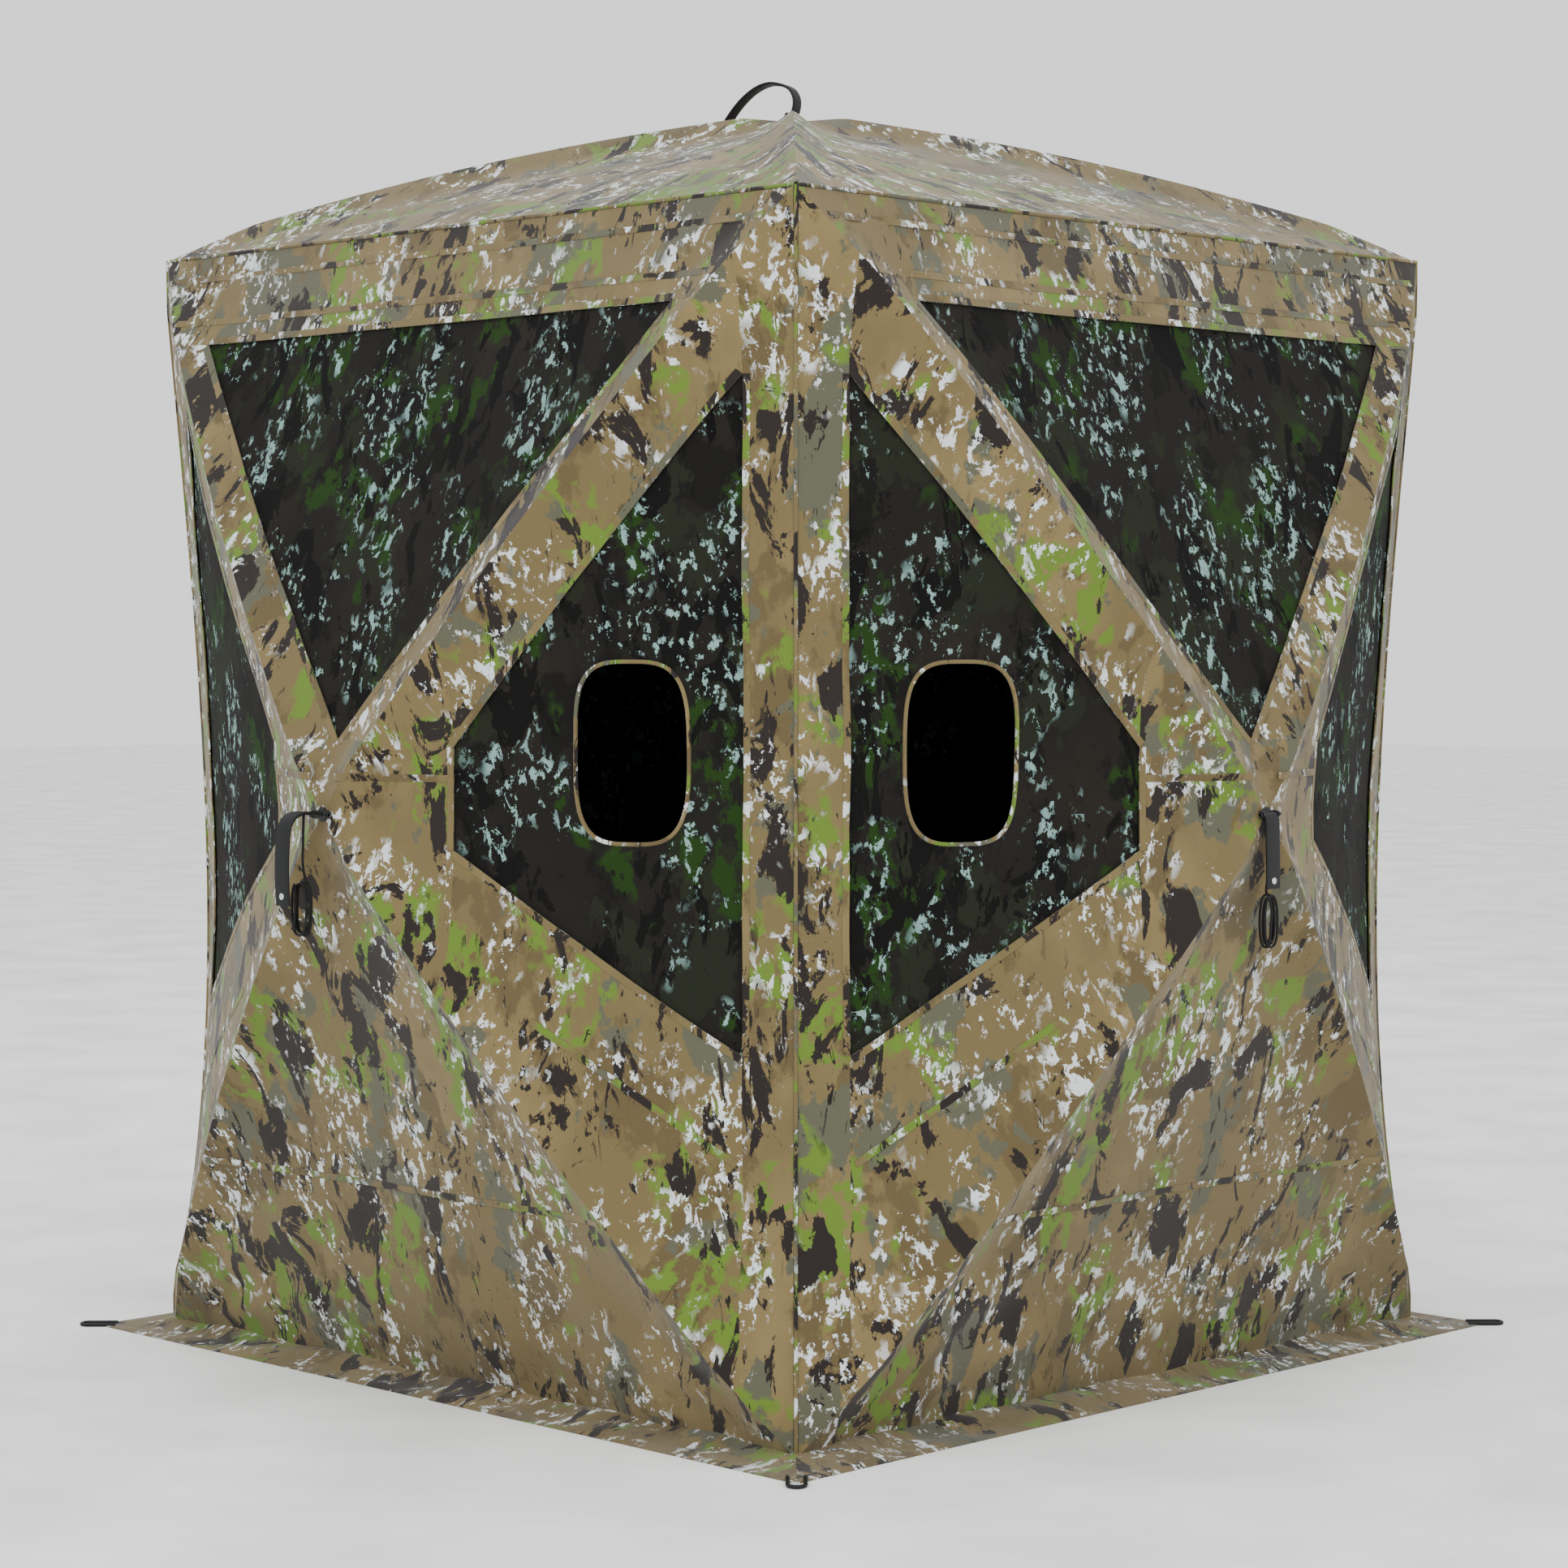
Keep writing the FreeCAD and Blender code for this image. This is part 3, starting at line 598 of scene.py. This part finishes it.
# ---- straps ----
def smooth_path(path, steps=8):
    """Points of a Catmull-Rom curve through a short path."""
    found = []
    ends = [path[0]] + path + [path[-1]]
    for a, b, c, d in zip(ends, ends[1:], ends[2:], ends[3:]):
        a, b, c, d = Vector(a), Vector(b), Vector(c), Vector(d)
        for i in range(steps):
            t = i / steps
            square, cube = 2 * a - 5 * b + 4 * c - d, 3 * b - a - 3 * c + d
            found.append(0.5 * (2 * b + (c - a) * t + square * t ** 2 + cube * t ** 3))
    return found + [Vector(path[-1])]


def webbing_strap(name, axes, path, width, thickness):
    """A strap along a path in its out and up plane, with rolled edges."""
    line = smooth_path(path)
    section = []
    edge = thickness / 2
    for i in range(12):
        a = 2 * math.pi * i / 12
        across = (width / 2 - edge) * (1 if math.cos(a) > 0 else -1) + edge * math.cos(a)
        section.append((across, edge * math.sin(a)))
    verts, faces = [], []
    for i, here in enumerate(line):
        before, after = line[max(i - 1, 0)], line[min(i + 1, len(line) - 1)]
        way = (after - before).normalized()
        for across, up in section:
            n, b = here.x - way.y * up, here.y + way.x * up
            verts.append(axes.at(across, b, n))
    k = len(section)
    for i in range(len(line) - 1):
        for j in range(k):
            faces.append((i * k + j, i * k + (j + 1) % k, (i + 1) * k + (j + 1) % k, (i + 1) * k + j))
    faces += [tuple(range(k)), tuple(range(len(verts) - k, len(verts)))[::-1]]
    mesh = bpy.data.meshes.new(name)
    mesh.from_pydata(verts, [], faces)
    obj = bpy.data.objects.new(name, mesh)
    bpy.context.scene.collection.objects.link(obj)
    deselect()
    bpy.context.view_layer.objects.active = obj
    obj.select_set(True)
    bpy.ops.object.mode_set(mode="EDIT")
    bpy.ops.mesh.select_all(action="SELECT")
    bpy.ops.mesh.normals_make_consistent(inside=False)
    bpy.ops.object.mode_set(mode="OBJECT")
    return finish(obj, WEBBING)


def strap_set(face, path, width, rivet=None):
    """A hub's strap with the bar it is sewn round, and its rivet."""
    name = face[0]
    axes = strap_axes(face)
    body = f"{name}_strap"
    strap = webbing_strap(f"{name}_strap_web", axes, path, width, STRAP_T)
    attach(strap, body)
    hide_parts(f"{name}_pull_strap")
    start = Vector(path[0])
    ends = [axes.at(side * 0.025, start.y, start.x) for side in (-1, 1)]
    bar = tube(f"{name}_strap_bar", ends, STRAP_BAR_R)
    apply(bar, "BEVEL", width=0.0008, segments=2)
    finish(bar, PAINTED)
    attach(bar, body)
    if rivet:
        out, up = rivet
        deselect()
        bpy.ops.mesh.primitive_uv_sphere_add(segments=24, ring_count=12, radius=0.0052)
        head = bpy.context.object
        head.name = head.data.name = f"{name}_strap_rivet"
        head.scale = (1, 1, 0.35)
        bpy.ops.object.transform_apply(scale=True)
        turn = Matrix((axes.x, axes.y, axes.z)).transposed().to_4x4()
        head.data.transform(Matrix.Translation(axes.at(0, up, out + STRAP_T / 2)) @ turn)
        finish(head, RIVET)
        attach(head, body)


def strap_axes(face):
    hub = hub_axes(face)
    if face[0] != "roof":
        return hub
    up, away = Vector((0, 0, 1)), Vector((-0.96, -0.28, 0)).normalized()
    return Axes(hub.origin, up.cross(away), up, away)


# strap paths in their hubs' frames: out, up
STANDING = [
    (BAR_OUT, 0), (0.030, 0.003), (0.052, 0.002), (0.066, -0.006),
    (0.074, -0.022), (0.077, -0.050), (0.078, -0.090), (0.076, -0.134),
]
HANGING = [
    (BAR_OUT, 0), (BAR_OUT + 0.004, -0.010), (BAR_OUT + 0.005, -0.040),
    (BAR_OUT + 0.006, -0.080), (BAR_OUT + 0.006, -0.112),
]
ARCHED = [
    (-0.001, BAR_OUT), (-0.007, 0.020), (-0.008, 0.038), (0.001, 0.054), (0.020, 0.063), (0.044, 0.066),
    (0.070, 0.058), (0.096, 0.040), (0.120, 0.014), (0.138, -0.014), (0.146, -0.032),
]
STANDING_RIVET = (0.0766, -0.120)
HANGING_RIVET = (BAR_OUT + 0.006, -0.100)

# the routes of the tie cords from the straps, in their hubs' frames: across, up, out
FRONT_DROP = [
    (0.004, 0.001, 0.040), (0.005, -0.024, 0.042), (0.002, -0.048, 0.040),
    (0.004, -0.072, 0.043), (0.001, -0.096, 0.042),
]
RIGHT_DROP = [
    (0.002, -0.0095, 0.008), (0.003, -0.030, 0.0055), (0.000, -0.058, 0.0065),
    (0.002, -0.086, 0.0055), (-0.001, -0.116, 0.008),
]


def hank_turns(x, y, z):
    """The turns of a cord's hank below a point: long loops that step outward a cord apart."""
    points = []
    count = HANK_TURNS * HANK_POINTS
    for i in range(count):
        a = 2 * math.pi * i / HANK_POINTS - math.pi / 2
        turn = i / HANK_POINTS
        wide = 0.0150 + 0.0022 * math.sin(2.1 * turn)
        tall = 0.0385 + 0.0028 * math.sin(1.7 * turn + 1)
        c, s = math.cos(a), math.sin(a)
        across = wide * math.copysign(abs(c) ** 0.75, c)
        up = -tall * math.copysign(abs(s) ** 0.8, s)
        depth = -0.0066 + 0.0044 * turn * (3 / HANK_TURNS)
        points.append((x + across, y - 0.0440 + up, z + depth))
    return points


def tie_cord(name, axes, drop):
    """A tie-down cord: a short drop, its hank, and a knotted end."""
    x, y, z = drop[-1]
    turns = hank_turns(x, y, z)
    tail = [
        (x - 0.003, y - 0.030, z + 0.0085), (x - 0.006, y - 0.052, z + 0.0085),
        (x - 0.008, y - 0.074, z + 0.0080),
    ]
    points = [axes.at(*p) for p in drop[:-1] + turns + tail]
    curve = bpy.data.curves.new(f"{name}_tie_line", "CURVE")
    curve.dimensions = "3D"
    curve.bevel_depth = CORD_D / 2
    curve.bevel_resolution = 3
    spline = curve.splines.new("NURBS")
    spline.points.add(len(points) - 1)
    for point, place in zip(spline.points, points):
        point.co = (*place, 1)
    spline.order_u = 3
    spline.use_endpoint_u = True
    spline.resolution_u = 6
    obj = bpy.data.objects.new(f"{name}_tie_line", curve)
    bpy.context.scene.collection.objects.link(obj)
    obj.data.materials.append(CORD)
    deselect()
    bpy.ops.mesh.primitive_torus_add(
        major_radius=KNOT_R, minor_radius=CORD_D / 2, major_segments=20, minor_segments=10,
        location=axes.at(*tail[-1]),
    )
    knot = bpy.context.object
    knot.name = knot.data.name = f"{name}_tie_knot"
    finish(knot, CORD)
    body = f"{name}_strap"
    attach(obj, body)
    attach(knot, body)
    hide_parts(f"{name}_tie_cord", f"{name}_tie_cord_hank")
    length = spline_length(obj)
    tuple(axes.at(*drop[0]))


def spline_length(obj):
    """The length of a curve's own line."""
    curve = obj.data.copy()
    curve.bevel_depth = 0
    probe = bpy.data.objects.new("probe", curve)
    mesh = bpy.data.meshes.new_from_object(probe)
    points = [vertex.co for vertex in mesh.vertices]
    total = sum((a - b).length for a, b in zip(points, points[1:]))
    bpy.data.objects.remove(probe)
    return round(total, 3)


# ---- materials ----
def linear(code):
    """An sRGB hex colour as linear RGBA."""
    found = []
    for i in (0, 2, 4):
        c = int(code[i:i + 2], 16) / 255
        found.append(c / 12.92 if c <= 0.04045 else ((c + 0.055) / 1.055) ** 2.4)
    return (*found, 1)


def add(tree, kind, inputs=None, **settings):
    """Adds a node with its settings; an input is a value or another node's output."""
    made = tree.nodes.new(kind)
    for key, value in settings.items():
        setattr(made, key, value)
    for key, value in (inputs or {}).items():
        if isinstance(value, bpy.types.NodeSocket):
            tree.links.new(value, made.inputs[key])
        else:
            made.inputs[key].default_value = value
    return made


def new_material(name):
    material = bpy.data.materials.new(name)
    material.use_nodes = True
    tree = material.node_tree
    tree.nodes.clear()
    shader = add(tree, "ShaderNodeBsdfPrincipled")
    out = add(tree, "ShaderNodeOutputMaterial")
    tree.links.new(shader.outputs[0], out.inputs[0])
    return material, tree, shader


def spots(tree, coords, scale, level, soft, seed, detail=4.0, rough=0.55, warp=0.0):
    """Where a stretched noise passes a level, from 0 to 1. scale is in cycles a metre, across and up."""
    place = add(tree, "ShaderNodeMapping", {"Vector": coords, "Location": (seed, seed * 0.7, seed * 1.3),
                                            "Scale": (scale[0], scale[1], scale[0])})
    cloud = add(tree, "ShaderNodeTexNoise", {"Vector": place.outputs[0], "Scale": 1.0, "Detail": detail,
                                             "Roughness": rough, "Distortion": warp})
    limits = {"Value": cloud.outputs[0], "From Min": level, "From Max": level + soft}
    return add(tree, "ShaderNodeMapRange", limits).outputs[0]


def paint(tree, below, colour, mask):
    """Lays a colour over another colour, or over a node's output, where the mask says."""
    return add(tree, "ShaderNodeMix", {"Factor": mask, 6: below, 7: colour}, data_type="RGBA").outputs[2]


def where_both(tree, a, b):
    """Where two masks meet."""
    return add(tree, "ShaderNodeMath", {0: a, 1: b}, operation="MULTIPLY").outputs[0]


def camouflage(tree, coords, ink, amount):
    """A bark and lichen print: soft grounds, leaves, lichen clusters, then bark and its cracks on top.

    Each layer's scale is in cycles a metre, from marks 15 to 300 mm long."""
    fade = spots(tree, coords, (5, 3), 0.50, 0.22, 1.0)
    colour = paint(tree, linear(ink["ground"]), linear(ink["pale"]), fade)
    colour = paint(tree, colour, linear(ink["shade"]), spots(tree, coords, (9, 6), 0.54, 0.04, 4.0, 5, 0.6))
    colour = paint(tree, colour, linear(ink["grey"]), spots(tree, coords, (8, 6), 0.565, 0.02, 9.0, 5, 0.6))
    bush = spots(tree, coords, (7, 6), 0.545, 0.04, 12.0, 3)
    leaf = spots(tree, coords, (24, 18), 0.47, 0.05, 13.0, 5, 0.62)
    colour = paint(tree, colour, linear(ink["leaf"]), where_both(tree, bush, leaf))
    cluster = spots(tree, coords, (7.0, 5.0), 0.50 - amount, 0.07, 17.0, 3)
    fine = spots(tree, coords, (54, 36), 0.553, 0.02, 21.0, 5, 0.66, 0.5)
    colour = paint(tree, colour, linear(ink["lichen"]), where_both(tree, cluster, fine))
    bark = spots(tree, coords, (15, 7.5), 0.568, 0.01, 31.0, 7, 0.64, 0.6)
    colour = paint(tree, colour, linear(ink["bark"]), bark)
    branch = spots(tree, coords, (5, 4), 0.5, 0.1, 51.0, 2)
    twig = spots(tree, coords, (44, 13), 0.615, 0.012, 52.0, 5, 0.6, 1.4)
    colour = paint(tree, colour, linear(ink["core"]), where_both(tree, branch, twig))
    group = spots(tree, coords, (9, 7), 0.55, 0.05, 41.0, 3)
    flake = spots(tree, coords, (66, 44), 0.575, 0.02, 43.0, 4, 0.7)
    return paint(tree, colour, linear(ink["lichen"]), where_both(tree, group, flake))


WAVE_TURN = 0.05 * 2 * math.pi  # the wave texture's scale for one band a metre
CAMO_INKS = {"ground": "665837", "pale": "7c6b45", "shade": "574a2d", "grey": "50503f", "leaf": "587222",
             "lichen": "ccd2d3", "bark": "1d1612", "core": "17110e"}
MESH_INKS = {"ground": "1a1815", "pale": "231f1a", "shade": "12110f", "grey": "1e2117", "leaf": "1c330f",
             "lichen": "7b9a94", "bark": "0b0a09", "core": "060505"}


def weave_bump(tree, coords, thread, strength):
    """Threads crossing at a spacing in metres, as a bump."""
    waves = []
    scale = WAVE_TURN / thread
    for direction in ("X", "Y"):
        settings = {"Vector": coords, "Scale": scale, "Distortion": 0.3}
        wave = add(tree, "ShaderNodeTexWave", settings, bands_direction=direction)
        waves.append(wave.outputs["Fac"])
    cloth = where_both(tree, *waves)
    slack = add(tree, "ShaderNodeTexNoise", {"Vector": coords, "Scale": 60.0, "Detail": 3.0}).outputs[0]
    both = add(tree, "ShaderNodeMath", {0: cloth, 1: slack}, operation="ADD").outputs[0]
    bump = add(tree, "ShaderNodeBump", {"Height": both, "Strength": strength, "Distance": 0.001})
    return bump.outputs[0]


def upright_coords(tree):
    """Object coordinates folded flat: round the object, and up."""
    place = add(tree, "ShaderNodeTexCoord").outputs["Object"]
    parts = add(tree, "ShaderNodeSeparateXYZ", {0: place}).outputs
    around = add(tree, "ShaderNodeMath", {0: parts[0], 1: parts[1]}, operation="ADD").outputs[0]
    return add(tree, "ShaderNodeCombineXYZ", {0: around, 1: parts[2]}).outputs[0]


def printed_polyester(name="printed_camouflage_polyester", mapped=True):
    """Printed camouflage polyester, a tight plain weave with a dull face.

    The weave is drawn at 3 mm so that it shows."""
    material, tree, shader = new_material(name)
    coords = add(tree, "ShaderNodeTexCoord").outputs["UV"] if mapped else upright_coords(tree)
    colour = camouflage(tree, coords, CAMO_INKS, 0.0)
    tree.links.new(colour, shader.inputs["Base Color"])
    shader.inputs["Roughness"].default_value = 0.82
    shader.inputs["Specular IOR Level"].default_value = 0.25
    shader.inputs["Sheen Weight"].default_value = 0.15
    tree.links.new(weave_bump(tree, coords, 0.003, 0.25), shader.inputs["Normal"])
    return material


def window_netting():
    """Shoot-through polyester netting printed dark; the holes are drawn at 2.5 mm so that they show."""
    material, tree, shader = new_material("printed_window_netting")
    coords = add(tree, "ShaderNodeTexCoord").outputs["UV"]
    colour = camouflage(tree, coords, MESH_INKS, -0.03)
    tree.links.new(colour, shader.inputs["Base Color"])
    shader.inputs["Roughness"].default_value = 0.9
    shader.inputs["Specular IOR Level"].default_value = 0.15
    tree.links.new(weave_bump(tree, coords, 0.0025, 0.5), shader.inputs["Normal"])
    return material


def plain(name, colour, roughness, metallic=0.0, grain=400.0, strength=0.15, specular=0.5):
    """A plain finish with fine grain in its colour, roughness and bump."""
    material, tree, shader = new_material(name)
    place = add(tree, "ShaderNodeTexCoord").outputs["Object"]
    cloud = add(tree, "ShaderNodeTexNoise", {"Vector": place, "Scale": grain, "Detail": 4.0}).outputs[0]
    tone = add(tree, "ShaderNodeMapRange", {"Value": cloud, "To Min": 0.75, "To Max": 1.3}).outputs[0]
    tint = add(tree, "ShaderNodeMix", {"Factor": 1.0}, data_type="RGBA", blend_type="MULTIPLY")
    tint.inputs[6].default_value = linear(colour)
    tree.links.new(tone, tint.inputs[7])
    tree.links.new(tint.outputs[2], shader.inputs["Base Color"])
    limits = {"Value": cloud, "To Min": roughness - 0.08, "To Max": roughness + 0.08}
    tree.links.new(add(tree, "ShaderNodeMapRange", limits).outputs[0], shader.inputs["Roughness"])
    shader.inputs["Metallic"].default_value = metallic
    if not metallic:
        shader.inputs["Specular IOR Level"].default_value = specular
    bump = add(tree, "ShaderNodeBump", {"Height": cloud, "Strength": strength, "Distance": 0.0005})
    tree.links.new(bump.outputs[0], shader.inputs["Normal"])
    return material


CAMO = printed_polyester()
NETTING = window_netting()
LINING = plain("black_polyurethane_lining", "070707", 0.85, grain=300, specular=0.2)
BINDING = printed_polyester("printed_binding_tape", mapped=False)
WEBBING = plain("black_coated_webbing", "08090a", 0.55, grain=500, strength=0.3, specular=0.3)
CORD = plain("black_braided_cord", "0d0d0e", 0.75, grain=900, strength=0.8, specular=0.3)
PAINTED = plain("black_painted_wire", "0c0c0c", 0.45, grain=200)
RIVET = plain("nickel_plated_rivet", "c9ccd0", 0.35, metallic=1.0, grain=300)
NYLON = plain("moulded_black_nylon", "101011", 0.55, grain=600)
FIBRE = plain("pultruded_glass_fibre", "0b0b0c", 0.3, grain=350)
TAPE = plain("black_zip_tape", "0a0a0a", 0.8, grain=700, specular=0.25)
SLIDER = plain("black_enamelled_zinc", "0b0b0b", 0.35, grain=250)
CLOTH = [CAMO, LINING]
MESH = [NETTING, LINING]


def dress_nodes():
    """Finishes for the pieces that stay as they were made."""
    finishes = {
        "hub_plastic": NYLON, "boot_plastic": NYLON, "pole_fibre": FIBRE,
        "zip_tape": TAPE, "zip_metal": SLIDER,
    }
    slots = {part["node"]: part["material_slot"] for part in frame["record"]["subparts"]}
    for node, obj in frame["nodes"].items():
        if slots[node] in finishes:
            obj.data.materials.clear()
            obj.data.materials.append(finishes[slots[node]])


# ---- camera, floor and light ----
def camera():
    lens = bpy.data.cameras.new("camera")
    lens.lens = 83.8
    lens.sensor_width = 36
    lens.shift_x = -0.0067
    view = bpy.data.objects.new("camera", lens)
    view.location = (4.358, -4.399, 1.164)
    view.rotation_euler = (math.radians(90 - 2.22), 0, math.radians(44.7))
    bpy.context.scene.collection.objects.link(view)
    bpy.context.scene.camera = view


def soft_light(name, place, aim, size, power):
    lamp = bpy.data.lights.new(name, "AREA")
    lamp.size = size
    lamp.energy = power
    obj = bpy.data.objects.new(name, lamp)
    obj.location = place
    obj.rotation_euler = (Vector(aim) - Vector(place)).to_track_quat("-Z", "Y").to_euler()
    bpy.context.scene.collection.objects.link(obj)


def studio():
    deselect()
    bpy.ops.mesh.primitive_plane_add(size=60, location=(0, 0, 0))
    floor = bpy.context.object
    floor.name = "floor"
    floor.data.materials.append(plain("pale_floor", "f2f2f0", 0.9, grain=3, strength=0.0))
    world = bpy.data.worlds.new("studio")
    world.use_nodes = True
    world.node_tree.nodes["Background"].inputs[0].default_value = linear("f4f5f7")
    world.node_tree.nodes["Background"].inputs[1].default_value = 1.45
    bpy.context.scene.world = world
    soft_light("key", (3.5, -7.0, 5.5), (0, 0, 0.9), 4.0, 340)
    soft_light("fill", (7.5, -1.0, 4.0), (0, 0, 0.9), 4.0, 120)
    soft_light("top", (-1.0, 1.0, 7.0), (0, 0, 1.0), 5.0, 120)


camera()
faces = make_faces()
by_name = {face[0]: face for face in faces}
tie_cord("front", hub_axes(by_name["front"]), FRONT_DROP)
tie_cord("right", hub_axes(by_name["right"]), RIGHT_DROP)
for index, face in enumerate(faces[:4]):
    wall_panels(face, 11.3 * index)
roof_panels(faces[4])
for quarter in range(4):
    skirt_flap(quarter)
    stake_loop(quarter)
edge_tapes()
strap_set(by_name["front"], STANDING, STRAP_W, STANDING_RIVET)
strap_set(by_name["back"], STANDING, STRAP_W, STANDING_RIVET)
strap_set(by_name["right"], HANGING, STRAP_W, HANGING_RIVET)
strap_set(by_name["left"], HANGING, STRAP_W, HANGING_RIVET)
strap_set(by_name["roof"], ARCHED, ROOF_STRAP_W)
dress_nodes()
studio()
